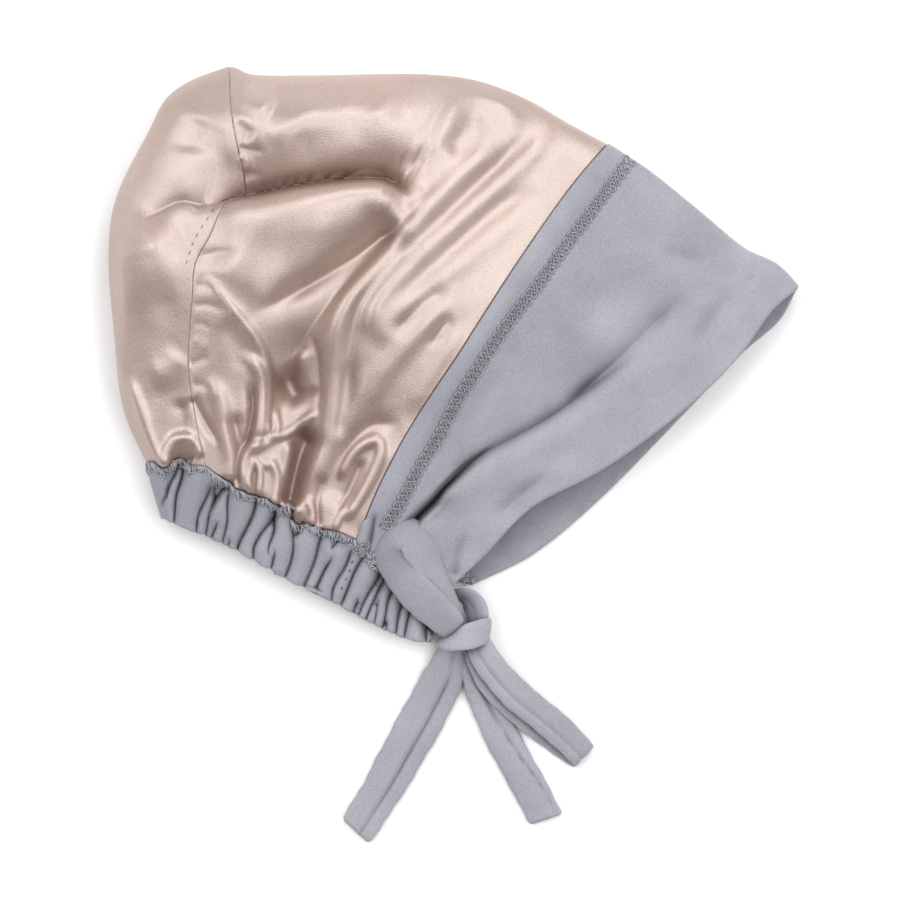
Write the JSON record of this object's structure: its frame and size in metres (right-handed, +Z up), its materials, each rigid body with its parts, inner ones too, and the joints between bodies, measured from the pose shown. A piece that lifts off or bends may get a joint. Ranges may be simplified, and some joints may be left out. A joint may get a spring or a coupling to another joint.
{
  "type": "drawstring sleep cap",
  "caption": "Soft sleep cap lying flat on its side: satin crown, wide jersey front band, gathered elastic nape casing and a flat tie in a bow.",
  "frame": {"origin": "centre of the cap's footprint at the surface it lies on, measured without the tie", "axes": "+Z up from the surface, +X towards the face hem, +Y towards the top of the head"},
  "size_m": [0.2635, 0.2959, 0.047],
  "materials": {
    "satin": "glossy champagne satin with soft folds",
    "jersey": "matte gray knitted jersey",
    "tie_jersey": "matte gray knitted jersey, folded into a flat tie"
  },
  "bodies": {
    "root": {"crown_front": "satin", "crown_back": "satin", "front_band": "jersey", "nape_band": "jersey", "tie_near": "tie_jersey", "tie_far": "tie_jersey", "bow_loop_left": "tie_jersey", "bow_loop_right": "tie_jersey", "tail_left": "tie_jersey", "tail_right": "tie_jersey", "bow_knot": "tie_jersey"}
  },
  "joints": []
}
